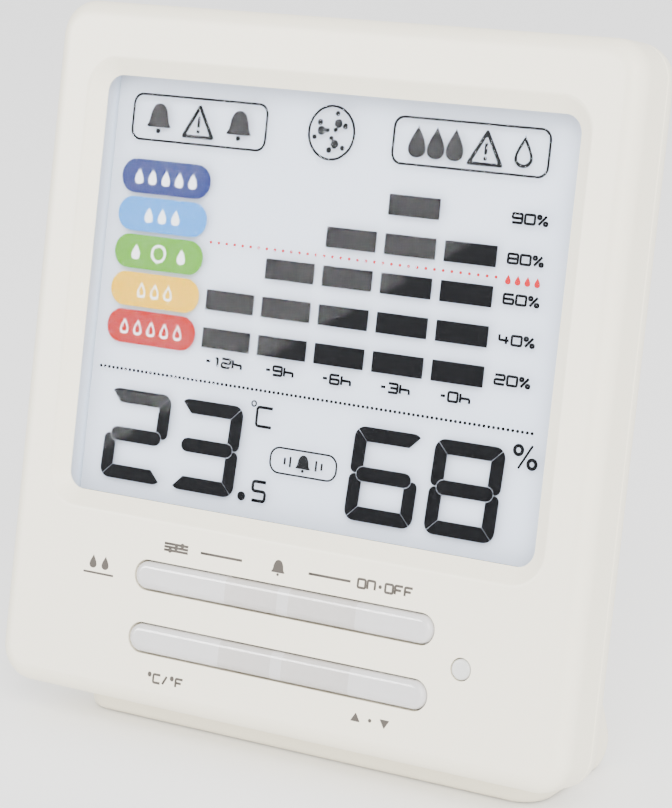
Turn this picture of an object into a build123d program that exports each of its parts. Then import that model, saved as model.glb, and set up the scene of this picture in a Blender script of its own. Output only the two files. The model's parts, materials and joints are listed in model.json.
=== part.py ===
from build123d import *
import os
from math import atan, cos, degrees, radians, sin, tan

os.makedirs("parts", exist_ok=True)

# The case is a rounded slab that leans back over a low foot.
# Lengths are in millimetres. The foot stands on Z = 0, and the face looks towards -Y.
# On the face, u runs to the right, v runs up the slope from the lower edge, and depth runs inwards.

# Case
side_border = 8.5
top_border = 10.1
case_lean = 11.3
face_lift = 5.8
corner_radius = 5.0
front_edge_radius = 2.4
back_edge_radius = 3.8
side_wall = 2.0
front_wall = 2.0
back_wall = 1.8
parting_behind_board = 1.0
parting_groove = 0.2
lip_height = 1.0
lip_thickness = 1.0
lip_clearance = 0.15

# Window and display
window_width = 75.0
window_height = 58.4
window_radius = 2.5
window_gap = 10.1
bevel_width = 2.3
bevel_depth = 1.6
bevel_softening = 0.9
pane_depth = 1.8
pane_thickness = 1.0
pane_overlap = 1.3
pane_clearance = 0.15
pane_frame_wall = 1.2
lcd_overlap = 1.0
lcd_gap = 0.1
lcd_glass_thickness = 1.0
lcd_cell_gap = 0.1
lcd_ledge = 3.0
backing_margin = 0.6
backing_thickness = 1.3
frame_clearance = 0.2
frame_wall = 1.2
zebra_width = 1.6
zebra_margin = 4.0

# Board
board_thickness = 1.2
board_clearance = 1.5
notch_clearance = 0.4
board_boss_radius = 2.0
board_screw_radius = 0.77
board_screw_head_radius = 1.7
board_screw_head_height = 1.0
board_screw_length = 4.2
lower_boss_side = 8.0
lower_boss_rise = 1.6
upper_boss_u = 16.0
upper_boss_drop = 4.8
screw_slack = 0.03
screw_hole_slack = 0.3

# Case screws
case_screw_side = 5.8
case_screw_end = 4.9
case_boss_radius = 2.4
case_well_radius = 3.2
case_screw_radius = 1.0
case_screw_head_radius = 2.0
case_screw_head_height = 1.3
case_screw_length = 6.4
counterbore_slack = 0.3
counterbore_depth = 2.6

# Keys
key_length = 48.0
key_height = 3.85
key_shift = 0.8
key_rise = 9.65
key_pitch = 8.75
key_proud = 0.5
key_softening = 0.9
key_clearance = 0.25
key_top = 1.4
flange_margin = 1.2
flange_depth = 2.7
flange_thickness = 0.9
trunnion_radius = 0.65
trunnion_length = 1.1
trunnion_clearance = 0.06
pivot_rib_width = 4.0
pivot_rib_thickness = 1.2
pivot_rib_gap = 0.2
pivot_rib_cover = 0.9
key_rib_half = 0.9
key_pocket_reach = 10.5
key_pocket_height = 2.4
post_reach = 18.0
post_radius = 1.2
post_gap = 0.4

# Switches under the keys
switch_side = 5.0
switch_height = 1.1
stem_radius = 1.1
stem_proud = 0.8
stem_seat = 0.55
stem_clearance = 0.05
stem_travel = 0.25
stem_floor_gap = 0.05

# Alarm light
led_gap = 4.7
led_rise = 0.175
led_radius = 1.4
led_clearance = 0.15
led_proud = 0.15
led_softening = 0.35
led_base_radius = 1.9
led_base_height = 0.9
lead_radius = 0.25
lead_spacing = 1.27
lead_tail = 0.5
lead_clearance = 0.05

# Foot
foot_side_setback = 8.35
foot_setback = 9.2
foot_front_corner = 4.5
foot_edge_radius = 1.0
heel_toe_radius = 3.8
heel_lean = 20.0
heel_height = 10.0
heel_rise = 2.0
heel_top_radius = 3.0
foot_wall = 1.8

# Battery box behind the slab
cell_radius = 5.25
cell_length = 43.7
cell_nub_radius = 1.9
cell_nub_length = 0.8
cell_edge_radius = 0.5
cell_pitch = 11.0
cell_clearance = 0.3
cell_spring_room = 3.9
box_bottom = 8.5
box_wall = 1.8
box_side_wall = 3.5
box_edge_radius = 1.4
tray_gap = 0.9
tray_floor_thickness = 1.2
door_thickness = 1.6
door_cell_gap = 0.4
door_clearance = 0.25
door_ledge = 1.4
door_side_ledge = 1.0
door_seat_gap = 0.15
rail_width = 1.0
rail_thickness = 0.8
grip_count = 4
grip_pitch = 2.0
grip_length = 14.0
grip_width = 0.9
grip_height = 0.4
grip_drop = 5.0

# Battery contacts
contact_thickness = 0.3
contact_gap = 0.1
contact_side = 9.0
tail_width = 2.0
tail_clearance = 0.2
spring_wire_radius = 0.3
spring_turns = 3
spring_root_radius = 3.4
spring_tip_radius = 2.4

# Sensor, chip and sounder behind the board
chip_radius = 7.0
chip_height = 1.5
chip_u = 6.0
chip_drop = 35.0
crystal_radius = 0.9
crystal_length = 6.0
crystal_offset = 9.5
sensor_width = 8.0
sensor_height = 12.0
sensor_thickness = 1.8
sensor_slot_count = 4
sensor_slot_pitch = 2.2
sensor_slot_width = 0.9
sensor_slot_depth = 0.6
sensor_margin = 1.2
sensor_gap = 0.7
sensor_side = 20.0
sensor_drop = 28.0
bead_radius = 1.0
bead_height = 1.4
bead_softening = 0.4
bead_offset = 8.0
bead_leg_radius = 0.25
bead_leg_length = 0.5
bead_leg_spacing = 0.8
sounder_side = 20.0
sounder_drop = 28.0
sounder_radius = 10.0
sounder_thickness = 0.3
ceramic_radius = 7.0
ceramic_thickness = 0.25
sounder_rim = 0.8
sounder_clearance = 0.15
sounder_rim_height = 0.9

# Openings in the back
vent_count = 5
vent_length = 12.0
vent_width = 1.4
vent_pitch = 3.2
sound_hole_radius = 0.8
sound_hole_ring = 3.0
sound_hole_count = 6
keyhole_drop = 19.0
keyhole_radius = 4.0
keyhole_slot_radius = 2.1
keyhole_slot_length = 7.0

# Worked out from the sizes above
lean = radians(case_lean)
lower_key_v = key_rise
upper_key_v = lower_key_v + key_pitch
window_v = upper_key_v + window_gap + window_height / 2
case_width = window_width + 2 * side_border
case_height = window_v + window_height / 2 + top_border
led_u = key_shift + key_length / 2 + led_gap
led_v = (upper_key_v + lower_key_v) / 2 + led_rise
pane_rear = pane_depth + pane_thickness
lcd_front = pane_rear + lcd_gap
lcd_middle = lcd_front + lcd_glass_thickness + lcd_cell_gap
lcd_rear = lcd_middle + lcd_glass_thickness
lcd_width = window_width + 2 * lcd_overlap
lcd_height = window_height + 2 * lcd_overlap
board_depth = lcd_rear + backing_thickness
board_rear = board_depth + board_thickness
inner_back = board_rear + sensor_thickness + sensor_gap
case_depth = inner_back + back_wall
parting_depth = board_depth + parting_behind_board
case_screw_u = case_width / 2 - case_screw_side
case_screw_low = case_screw_end
case_screw_high = case_height - case_screw_end
lower_boss_u = case_width / 2 - lower_boss_side
lower_boss_v = upper_key_v + lower_boss_rise
flange_length = key_length + 2 * flange_margin
flange_height = key_height + 2 * flange_margin
flange_rear = flange_depth + flange_thickness
pivot_depth = flange_depth + flange_thickness / 2
stem_top = board_depth - switch_height - stem_proud
chip_v = case_height - chip_drop
sensor_u = case_width / 2 - sensor_side
sensor_v = case_height - sensor_drop
sounder_u = sounder_side - case_width / 2
sounder_v = case_height - sounder_drop
keyhole_v = case_height - keyhole_drop
foot_width = case_width - 2 * foot_side_setback
cell_total = cell_length + cell_nub_length
tray_floor_depth = board_rear + tray_gap + tray_floor_thickness
tray_length = cell_total + cell_spring_room + 2 * (contact_thickness + contact_gap)
tray_height = cell_pitch + 2 * (cell_radius + cell_clearance)
tray_low = box_bottom + box_wall + door_ledge
tray_v = tray_low + tray_height / 2
cell_depth = tray_floor_depth + cell_clearance + cell_radius
lower_cell_v = tray_v - cell_pitch / 2
upper_cell_v = tray_v + cell_pitch / 2
door_inner = cell_depth + cell_radius + door_cell_gap
door_low = box_bottom + box_wall
box_depth = door_inner + door_thickness
box_top = tray_low + tray_height + box_wall
box_width = tray_length + 2 * box_side_wall
box_v = (box_bottom + box_top) / 2

# The case's farthest points to the front and to the back, measured from the face's lower edge
front_reach = front_edge_radius * (sin(lean) + cos(lean) - 1)
back_reach = (
    (case_height - back_edge_radius) * sin(lean)
    + (case_depth - back_edge_radius) * cos(lean)
    + back_edge_radius
)
face_y = -(front_reach + back_reach) / 2
foot_front_y = face_y + foot_setback
foot_rear_y = face_y + back_reach
face_plane = Plane(
    origin=(0, face_y, face_lift),
    x_dir=(1, 0, 0),
    z_dir=(0, -cos(lean), sin(lean)),
)


def on_face(piece):
    """Place a piece, drawn on the upright face, on the leaning one."""
    return face_plane.location * piece


def layer(outline, depth, thickness, u=0.0, v=0.0):
    """Extrude an outline from a depth behind the face to that depth plus a thickness."""
    return Pos(u, v, -depth - thickness) * extrude(outline, amount=thickness)


def block(width, height, depth, thickness, u=0.0, v=0.0, radius=0.0):
    outline = RectangleRounded(width, height, radius) if radius else Rectangle(width, height)
    return layer(outline, depth, thickness, u, v)


def disc(radius, depth, thickness, u=0.0, v=0.0):
    return layer(Circle(radius), depth, thickness, u, v)


def pill(length, height, depth, thickness, u=0.0, v=0.0):
    return layer(SlotOverall(length, height), depth, thickness, u, v)


def front_edges(piece):
    return piece.faces().sort_by(Axis.Z)[-1].edges()


def back_edges(piece):
    return piece.faces().sort_by(Axis.Z)[0].edges()


def four(u, low, high):
    """The four corner places of a rectangle that is centred across the case."""
    return [(side * u, v) for side in (-1, 1) for v in (low, high)]


def slab_form():
    """The slab's outer form, with a soft front edge and a softer back edge."""
    slab = block(case_width, case_height, 0, case_depth, 0, case_height / 2, corner_radius)
    slab = fillet(front_edges(slab), front_edge_radius)
    return fillet(back_edges(slab), back_edge_radius)


def slab_hollow():
    width = case_width - 2 * side_wall
    height = case_height - 2 * side_wall
    radius = corner_radius - side_wall
    hollow = block(width, height, front_wall, inner_back - front_wall, 0, case_height / 2, radius)
    return fillet(back_edges(hollow), back_edge_radius - back_wall)


def window_opening():
    """A soft slope that runs down to the window's edge, then a short straight throat."""
    mouth = RectangleRounded(
        window_width + 2 * bevel_width,
        window_height + 2 * bevel_width,
        window_radius + bevel_width,
    )
    throat = RectangleRounded(window_width, window_height, window_radius)
    slope = loft(
        [Pos(0, window_v, 0) * mouth.face(), Pos(0, window_v, -bevel_depth) * throat.face()],
        ruled=True,
    )
    return slope + layer(throat, bevel_depth, front_wall, 0, window_v)


def pane_pocket():
    width = window_width + 2 * (pane_overlap + pane_clearance)
    height = window_height + 2 * (pane_overlap + pane_clearance)
    return block(width, height, pane_depth, pane_thickness + lcd_gap, 0, window_v)


def pane_frame():
    """A low wall on the inside that holds the pane all round."""
    width = window_width + 2 * (pane_overlap + pane_clearance + pane_frame_wall)
    height = window_height + 2 * (pane_overlap + pane_clearance + pane_frame_wall)
    return block(width, height, front_wall, pane_rear - front_wall, 0, window_v)


def pivot_ribs():
    """Three ribs that carry the trunnions of both keys."""
    rib_depth = pivot_depth + trunnion_radius + pivot_rib_cover
    side = flange_height / 2 + pivot_rib_gap
    spans = (
        (lower_key_v - side - pivot_rib_thickness, lower_key_v - side),
        (lower_key_v + side, upper_key_v - side),
        (upper_key_v + side, upper_key_v + side + pivot_rib_thickness),
    )
    ribs = Part()
    for low, high in spans:
        ribs += block(
            pivot_rib_width, high - low, front_wall, rib_depth - front_wall, key_shift, (low + high) / 2
        )
    bore = Cylinder(trunnion_radius + trunnion_clearance, case_height, rotation=(90, 0, 0))
    return ribs - Pos(key_shift, 0, -pivot_depth) * bore


def front_shell():
    shell = slab_form() & block(case_width, case_height, 0, parting_depth, 0, case_height / 2)
    shell -= slab_hollow()
    shell = chamfer(shell.faces().sort_by(Axis.Z)[0].outer_wire().edges(), parting_groove)
    shell += pane_frame()
    shell -= window_opening()
    shell -= pane_pocket()
    mouth = [
        edge
        for edge in front_edges(shell)
        if abs(edge.center().X) < window_width / 2 + bevel_width + 0.1
        and abs(edge.center().Y - window_v) < window_height / 2 + bevel_width + 0.1
    ]
    shell = fillet(mouth, bevel_softening)
    for v in (upper_key_v, lower_key_v):
        shell -= pill(
            key_length + 2 * key_clearance, key_height + 2 * key_clearance, -1, front_wall + 2, key_shift, v
        )
    shell -= disc(led_radius + led_clearance, -1, front_wall + 2, led_u, led_v)
    shell += pivot_ribs()
    for u, v in four(case_screw_u, case_screw_low, case_screw_high):
        shell += disc(case_boss_radius, front_wall, parting_depth - front_wall, u, v)
        shell -= disc(case_screw_radius + screw_slack, front_wall, parting_depth - front_wall, u, v)
    for u, v in board_screw_places():
        shell += disc(board_boss_radius, front_wall, board_depth - front_wall, u, v)
        shell -= disc(board_screw_radius + screw_slack, front_wall, board_depth - front_wall, u, v)
    return on_face(shell)


def board_screw_places():
    low = [(side * lower_boss_u, lower_boss_v) for side in (-1, 1)]
    high = [(side * upper_boss_u, case_height - upper_boss_drop) for side in (-1, 1)]
    return low + high


def foot_profile(inset=0.0):
    """The foot from the side: level underneath, with a heel that leans forward as it rises."""
    slope = radians(heel_lean)
    toe_y = foot_rear_y + heel_toe_radius * (tan(slope) + 1 / cos(slope) - 1)
    front = foot_front_y + inset
    top = heel_height - inset

    def heel_y(z):
        return toe_y - inset / cos(slope) - z * tan(slope)

    outline = FilletPolyline(
        (front, inset),
        (heel_y(inset), inset),
        (heel_y(top), top),
        (face_y + case_depth / cos(lean), top + heel_rise),
        (front, top),
        radius=[0, heel_toe_radius - inset, heel_top_radius - inset, 0, 0],
        close=True,
    )
    return Plane.YZ * make_face(outline)


def foot_form():
    side_view = extrude(foot_profile(), amount=foot_width / 2, both=True)
    half = foot_width / 2
    plan = FilletPolyline(
        (-half, foot_front_y),
        (half, foot_front_y),
        (half, foot_rear_y),
        (-half, foot_rear_y),
        radius=[foot_front_corner, foot_front_corner, 0, 0],
        close=True,
    )
    foot = side_view & extrude(make_face(plan), amount=heel_height + heel_rise)
    rear_edges = foot.edges().filter_by(lambda edge: abs(abs(edge.center().X) - half) < 0.001)
    return fillet(rear_edges, foot_edge_radius)


def foot_hollow():
    return extrude(foot_profile(foot_wall), amount=foot_width / 2 - foot_wall, both=True)


def battery_box():
    """The box that stands out behind the slab, with soft edges all round its rear."""
    start = inner_back
    box = block(box_width, box_top - box_bottom, start, box_depth - start, 0, box_v)
    rear = back_edges(box)
    sides = box.edges().filter_by(Axis.Z)
    return fillet(rear + sides, box_edge_radius)


def door_way():
    """The door's recess with its two side grooves, open at the top so that the door slides in."""
    top = box_top + box_edge_radius
    height = top - door_low
    mid = (top + door_low) / 2
    width = tray_length + 2 * door_side_ledge
    recess = block(width, height, door_inner - door_seat_gap, box_depth, 0, mid)
    groove = block(
        width + 2 * rail_width,
        height,
        door_inner - door_seat_gap,
        rail_thickness + 2 * door_seat_gap,
        0,
        mid,
    )
    return recess + groove


def lip():
    """The back shell's tongue, which locates it inside the front shell's wall."""
    width = case_width - 2 * (side_wall + lip_clearance)
    height = case_height - 2 * (side_wall + lip_clearance)
    radius = corner_radius - side_wall
    depth = parting_depth - lip_height
    reach = lip_height + lip_thickness
    v = case_height / 2
    tongue = block(width, height, depth, reach, 0, v, radius)
    tongue -= block(
        width - 2 * lip_thickness, height - 2 * lip_thickness, depth, reach, 0, v, radius - lip_thickness
    )
    wall = block(case_width, case_height, parting_depth, reach, 0, v) - block(
        width, height, parting_depth, reach, 0, v, radius
    )
    for u, w in four(case_screw_u, case_screw_low, case_screw_high):
        tongue -= disc(case_boss_radius + screw_hole_slack, depth, reach, u, w)
    for u, w in board_screw_places():
        tongue -= disc(board_boss_radius + screw_hole_slack, depth, reach, u, w)
    return tongue - wall


def screw_wells():
    wells = Part()
    for u, v in four(case_screw_u, case_screw_low, case_screw_high):
        wells += disc(case_well_radius, parting_depth, inner_back - parting_depth, u, v)
    return wells & block(case_width, case_height, parting_depth, case_depth, 0, case_height / 2)


def screw_bores():
    bores = Part()
    for u, v in four(case_screw_u, case_screw_low, case_screw_high):
        bores += disc(case_screw_radius + screw_hole_slack, parting_depth - 1, case_depth, u, v)
        bores += disc(
            case_screw_head_radius + counterbore_slack, case_depth - counterbore_depth, case_depth, u, v
        )
    return bores


def vents():
    slots = Part()
    for i in range(vent_count):
        v = sensor_v + (i - (vent_count - 1) / 2) * vent_pitch
        slots += pill(vent_length, vent_width, inner_back - 1, case_depth, sensor_u, v)
    return slots


def sound_holes():
    holes = disc(sound_hole_radius, inner_back - 1, case_depth, sounder_u, sounder_v)
    for place in PolarLocations(sound_hole_ring, sound_hole_count):
        holes += Pos(sounder_u, sounder_v, 0) * place * disc(sound_hole_radius, inner_back - 1, case_depth)
    return holes


def sounder_ring():
    inner = sounder_radius + sounder_clearance
    depth = inner_back - sounder_rim_height
    ring = disc(inner + sounder_rim, depth, sounder_rim_height, sounder_u, sounder_v)
    return ring - disc(inner, depth, sounder_rim_height, sounder_u, sounder_v)


def keyhole():
    """A round hole for a screw's head, with a slot above it for the shank."""
    hole = disc(keyhole_radius, inner_back - 1, case_depth, 0, keyhole_v)
    slot = Rot(0, 0, 90) * SlotCenterToCenter(keyhole_slot_length, 2 * keyhole_slot_radius)
    return hole + layer(slot, inner_back - 1, case_depth, 0, keyhole_v + keyhole_slot_length / 2)


def tail_slots():
    """Slots in the tray floor for the tails of the two end contacts."""
    width = contact_thickness + 2 * tail_clearance
    height = tail_width + 2 * tail_clearance
    u = -(tray_length - contact_thickness) / 2
    slots = Part()
    for v in (lower_cell_v, upper_cell_v):
        slots += block(width, height, board_rear, tray_floor_depth - board_rear, u, v)
    return slots


def back_shell():
    rear_half = block(
        case_width, case_height, parting_depth, case_depth - parting_depth, 0, case_height / 2
    )
    slab = slab_form() & rear_half
    slab = chamfer(slab.faces().sort_by(Axis.Z)[-1].outer_wire().edges(), parting_groove)
    shell = on_face(slab + battery_box()) + foot_form()
    shell -= on_face(slab_hollow())
    shell -= foot_hollow()
    shell += on_face(lip() + screw_wells() + sounder_ring())
    tray = block(
        tray_length + 2 * tray_floor_thickness,
        tray_height + 2 * tray_floor_thickness,
        tray_floor_depth - tray_floor_thickness,
        inner_back - tray_floor_depth + tray_floor_thickness,
        0,
        tray_v,
    )
    shell += on_face(tray)
    cells = block(tray_length, tray_height, tray_floor_depth, box_depth, 0, tray_v)
    shell -= on_face(cells + door_way() + tail_slots())
    return shell - on_face(screw_bores() + vents() + sound_holes() + keyhole())


def battery_door():
    """The door: a plate with a rail along each side, ribbed for the thumb."""
    low = door_low + door_clearance
    height = box_top - low
    v = (box_top + low) / 2
    width = tray_length + 2 * (door_side_ledge - door_clearance)
    door = block(width, height, door_inner, door_thickness, 0, v)
    top_edge = back_edges(door).sort_by(Axis.Y)[-1]
    door = fillet(top_edge, box_edge_radius)
    door += block(width + 2 * rail_width, height, door_inner, rail_thickness, 0, v)
    for i in range(grip_count):
        grip_v = box_top - grip_drop - i * grip_pitch
        ridge = pill(grip_length, grip_width, box_depth, grip_height, 0, grip_v)
        door += fillet(back_edges(ridge), grip_height / 2)
    return on_face(door)


def key(v):
    """A clear rocker key: a pill that stands through its slot, on a flange with two trunnions."""
    body = pill(key_length, key_height, -key_proud, key_proud + flange_depth, key_shift, v)
    body = fillet(front_edges(body), key_softening)
    body += pill(flange_length, flange_height, flange_depth, flange_thickness, key_shift, v)
    trunnions = Cylinder(trunnion_radius, flange_height + 2 * trunnion_length, rotation=(90, 0, 0))
    body += Pos(key_shift, v, -pivot_depth) * trunnions
    ceiling = key_top - key_proud
    for side in (-1, 1):
        middle = key_shift + side * (key_rib_half + key_pocket_reach) / 2
        body -= block(
            key_pocket_reach - key_rib_half, key_pocket_height, ceiling, flange_rear - ceiling, middle, v
        )
        post_length = stem_top - post_gap - flange_rear
        body += disc(post_radius, flange_rear, post_length, key_shift + side * post_reach, v)
    return on_face(body)


def switch_places():
    places = {}
    for row, v in (("upper", upper_key_v), ("lower", lower_key_v)):
        for name, side in (("left", -1), ("right", 1)):
            places[f"{row}_{name}"] = (key_shift + side * post_reach, v)
    return places


def switch_bodies():
    bodies = []
    top = board_depth - switch_height
    bore = stem_seat + stem_travel + stem_floor_gap
    for u, v in switch_places().values():
        body = block(switch_side, switch_side, top, switch_height, u, v)
        bodies.append(on_face(body - disc(stem_radius + stem_clearance, top, bore, u, v)))
    return Compound(children=bodies)


def switch_stem(u, v):
    return on_face(disc(stem_radius, stem_top, stem_proud + stem_seat, u, v))


def window_pane():
    width = window_width + 2 * pane_overlap
    height = window_height + 2 * pane_overlap
    return on_face(block(width, height, pane_depth, pane_thickness, 0, window_v))


def lcd_front_glass():
    return on_face(block(lcd_width, lcd_height, lcd_front, lcd_glass_thickness, 0, window_v))


def lcd_rear_glass():
    """The rear glass reaches further down, and its ledge carries the contacts."""
    height = lcd_height + lcd_ledge
    v = window_v - lcd_ledge / 2
    return on_face(block(lcd_width, height, lcd_middle, lcd_glass_thickness, 0, v))


def lcd_backing():
    width = lcd_width - 2 * backing_margin
    height = lcd_height - 2 * backing_margin
    return on_face(block(width, height, lcd_rear, board_depth - lcd_rear, 0, window_v))


def zebra_strip():
    """The rubber strip that joins the glass's ledge to the board."""
    width = lcd_width - 2 * zebra_margin
    v = window_v - lcd_height / 2 - lcd_ledge / 2
    return on_face(block(width, zebra_width, lcd_rear, board_depth - lcd_rear, 0, v))


def lcd_frame():
    v = window_v - lcd_ledge / 2
    width = lcd_width + 2 * frame_clearance
    height = lcd_height + lcd_ledge + 2 * frame_clearance
    thickness = board_depth - lcd_front
    frame = block(width + 2 * frame_wall, height + 2 * frame_wall, lcd_front, thickness, 0, v)
    return on_face(frame - block(width, height, lcd_front, thickness, 0, v))


def main_board():
    width = case_width - 2 * (side_wall + board_clearance)
    height = case_height - 2 * (side_wall + board_clearance)
    board = block(width, height, board_depth, board_thickness, 0, case_height / 2)
    notch_u = case_screw_side + case_well_radius + notch_clearance
    notch_v = case_screw_end + case_well_radius + notch_clearance
    for side in (-1, 1):
        for v in (0, case_height):
            board -= block(
                2 * notch_u, 2 * notch_v, board_depth, board_thickness, side * case_width / 2, v
            )
    for u, v in board_screw_places():
        board -= disc(board_screw_radius + screw_hole_slack, board_depth, board_thickness, u, v)
    for side in (-1, 1):
        u = led_u + side * lead_spacing
        board -= disc(lead_radius + lead_clearance, board_depth, board_thickness, u, led_v)
    return on_face(board)


def board_screws():
    screws = []
    for u, v in board_screw_places():
        screw = disc(board_screw_head_radius, board_rear, board_screw_head_height, u, v)
        screw = fillet(back_edges(screw), board_screw_head_height / 3)
        screw += disc(board_screw_radius, board_rear - board_screw_length, board_screw_length, u, v)
        screws.append(on_face(screw))
    return Compound(children=screws)


def case_screws():
    screws = []
    seat = case_depth - counterbore_depth
    for u, v in four(case_screw_u, case_screw_low, case_screw_high):
        screw = disc(case_screw_head_radius, seat, case_screw_head_height, u, v)
        screw = fillet(back_edges(screw), case_screw_head_height / 3)
        screw += disc(case_screw_radius, seat - case_screw_length, case_screw_length, u, v)
        screws.append(on_face(screw))
    return Compound(children=screws)


def alarm_led():
    """The lamp: a milky rod that ends just proud of the face, on a wider base."""
    base_depth = board_depth - led_base_height
    rod = disc(led_radius, -led_proud, base_depth + led_proud, led_u, led_v)
    rod = fillet(front_edges(rod), led_softening)
    return on_face(rod + disc(led_base_radius, base_depth, led_base_height, led_u, led_v))


def led_leads():
    leads = []
    for side in (-1, 1):
        u = led_u + side * lead_spacing
        leads.append(on_face(disc(lead_radius, board_depth, board_thickness + lead_tail, u, led_v)))
    return Compound(children=leads)


def humidity_sensor():
    sensor = block(sensor_width, sensor_height, board_rear, sensor_thickness, sensor_u, sensor_v)
    depth = board_rear + sensor_thickness - sensor_slot_depth
    for i in range(sensor_slot_count):
        v = sensor_v + (i - (sensor_slot_count - 1) / 2) * sensor_slot_pitch
        sensor -= pill(
            sensor_width - 2 * sensor_margin, sensor_slot_width, depth, sensor_slot_depth, sensor_u, v
        )
    return on_face(sensor)


def thermistor():
    """A dipped bead on two short legs, beside the humidity sensor."""
    u = sensor_u - bead_offset
    bead = disc(bead_radius, board_rear + bead_leg_length, bead_height, u, sensor_v)
    bead = fillet(front_edges(bead) + back_edges(bead), bead_softening)
    for side in (-1, 1):
        leg_u = u + side * bead_leg_spacing / 2
        bead += disc(bead_leg_radius, board_rear, bead_leg_length, leg_u, sensor_v)
    return on_face(bead)


def chip_blob():
    """A shallow dome of epoxy over the bare chip."""
    dome_radius = (chip_radius**2 + chip_height**2) / (2 * chip_height)
    dome = Pos(chip_u, chip_v, dome_radius - chip_height - board_rear) * Sphere(dome_radius)
    return on_face(dome & disc(chip_radius, board_rear, chip_height, chip_u, chip_v))


def clock_crystal():
    can = Cylinder(crystal_radius, crystal_length, rotation=(0, 90, 0))
    v = chip_v + crystal_offset
    return on_face(Pos(chip_u, v, -board_rear - crystal_radius) * can)


def sounder_plate():
    depth = inner_back - sounder_thickness
    return on_face(disc(sounder_radius, depth, sounder_thickness, sounder_u, sounder_v))


def sounder_ceramic():
    depth = inner_back - sounder_thickness - ceramic_thickness
    return on_face(disc(ceramic_radius, depth, ceramic_thickness, sounder_u, sounder_v))


def cell(side, v):
    """One round cell that lies across the case, with its nub towards side."""
    body = Cylinder(cell_radius, cell_length, rotation=(0, 90, 0))
    body = fillet(body.edges(), cell_edge_radius)
    nub = Cylinder(cell_nub_radius, cell_nub_length, rotation=(0, 90, 0))
    nub_tip = tray_length / 2 - contact_thickness - contact_gap
    body = Pos(side * (nub_tip - cell_nub_length - cell_length / 2), 0, 0) * body
    body += Pos(side * (nub_tip - cell_nub_length / 2), 0, 0) * nub
    return on_face(Pos(0, v, -cell_depth) * body)


def contact_plate(side, v, height):
    plate = Box(contact_thickness, height, contact_side)
    return Pos(side * (tray_length - contact_thickness) / 2, v, -cell_depth) * plate


def end_contact(v):
    """A plate at the left end, with a tail that reaches through the tray floor to the board."""
    u = -(tray_length - contact_thickness) / 2
    tail = block(contact_thickness, tail_width, board_rear, cell_depth - board_rear, u, v)
    return on_face(contact_plate(-1, v, contact_side) + tail)


def contact_spring(side, v):
    """A coil that narrows from its plate towards the cell's flat end."""
    height = cell_spring_room - 2 * spring_wire_radius - contact_gap
    taper = -degrees(atan((spring_root_radius - spring_tip_radius) / height))
    coil = Helix(height / spring_turns, height, spring_root_radius, cone_angle=taper)
    section = Plane(origin=coil @ 0, z_dir=coil % 0) * Circle(spring_wire_radius)
    spring = sweep(section, path=coil, is_frenet=True)
    start = tray_length / 2 - contact_thickness - spring_wire_radius
    return on_face(Pos(side * start, v, -cell_depth) * Rot(0, -side * 90, 0) * spring)


pieces = {
    "front_shell": front_shell(),
    "back_shell": back_shell(),
    "battery_door": battery_door(),
    "upper_key": key(upper_key_v),
    "lower_key": key(lower_key_v),
    "switch_bodies": switch_bodies(),
    "alarm_led": alarm_led(),
    "led_leads": led_leads(),
    "window_pane": window_pane(),
    "lcd_front_glass": lcd_front_glass(),
    "lcd_rear_glass": lcd_rear_glass(),
    "lcd_backing": lcd_backing(),
    "lcd_frame": lcd_frame(),
    "zebra_strip": zebra_strip(),
    "main_board": main_board(),
    "board_screws": board_screws(),
    "case_screws": case_screws(),
    "humidity_sensor": humidity_sensor(),
    "thermistor": thermistor(),
    "chip_blob": chip_blob(),
    "clock_crystal": clock_crystal(),
    "sounder_plate": sounder_plate(),
    "sounder_ceramic": sounder_ceramic(),
    "cell_lower": cell(1, lower_cell_v),
    "cell_upper": cell(-1, upper_cell_v),
    "contact_springs": Compound(children=[contact_spring(-1, lower_cell_v), contact_spring(1, upper_cell_v)]),
    "contact_bridge": on_face(contact_plate(1, tray_v, cell_pitch + contact_side)),
    "contact_negative": end_contact(lower_cell_v),
    "contact_positive": end_contact(upper_cell_v),
}
for name, (u, v) in switch_places().items():
    pieces[f"switch_stem_{name}"] = switch_stem(u, v)

for name, piece in pieces.items():
    export_step(piece, f"parts/{name}.step")
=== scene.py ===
"""A desk thermo-hygrometer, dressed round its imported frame."""

import json
from math import cos, pi, radians, sin

import bmesh
import bpy
from bpy.props import FloatProperty, FloatVectorProperty, IntProperty, PointerProperty
from mathutils import Matrix, Vector


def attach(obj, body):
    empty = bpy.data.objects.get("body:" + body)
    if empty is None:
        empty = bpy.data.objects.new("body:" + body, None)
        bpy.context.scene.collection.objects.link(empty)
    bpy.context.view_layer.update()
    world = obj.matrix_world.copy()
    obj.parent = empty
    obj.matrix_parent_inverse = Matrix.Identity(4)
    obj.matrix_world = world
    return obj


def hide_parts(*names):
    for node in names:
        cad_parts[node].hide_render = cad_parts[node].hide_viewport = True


bl_info = {
    "name": "Thermo-hygrometer",
    "version": (1, 0, 0),
    "blender": (4, 5, 0),
    "location": "3D View > Sidebar > Thermo-hygrometer",
    "description": "Dresses a desk thermo-hygrometer: case, display, keys, lamp, screws and battery bay",
    "category": "Object",
}

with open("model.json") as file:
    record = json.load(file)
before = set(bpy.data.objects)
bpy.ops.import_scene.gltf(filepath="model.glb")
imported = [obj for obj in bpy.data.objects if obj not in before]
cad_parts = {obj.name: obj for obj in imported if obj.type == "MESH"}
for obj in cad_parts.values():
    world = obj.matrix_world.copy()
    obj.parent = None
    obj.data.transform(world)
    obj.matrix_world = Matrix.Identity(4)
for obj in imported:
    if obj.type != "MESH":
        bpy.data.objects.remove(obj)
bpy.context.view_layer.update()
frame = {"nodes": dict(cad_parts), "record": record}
NODES = frame["nodes"]
JOINTS = {joint["name"]: joint for joint in frame["record"]["behaviour"]["joints"]}

# Lengths on the face are in millimetres, and the frame is in metres
MM = 0.001
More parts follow.
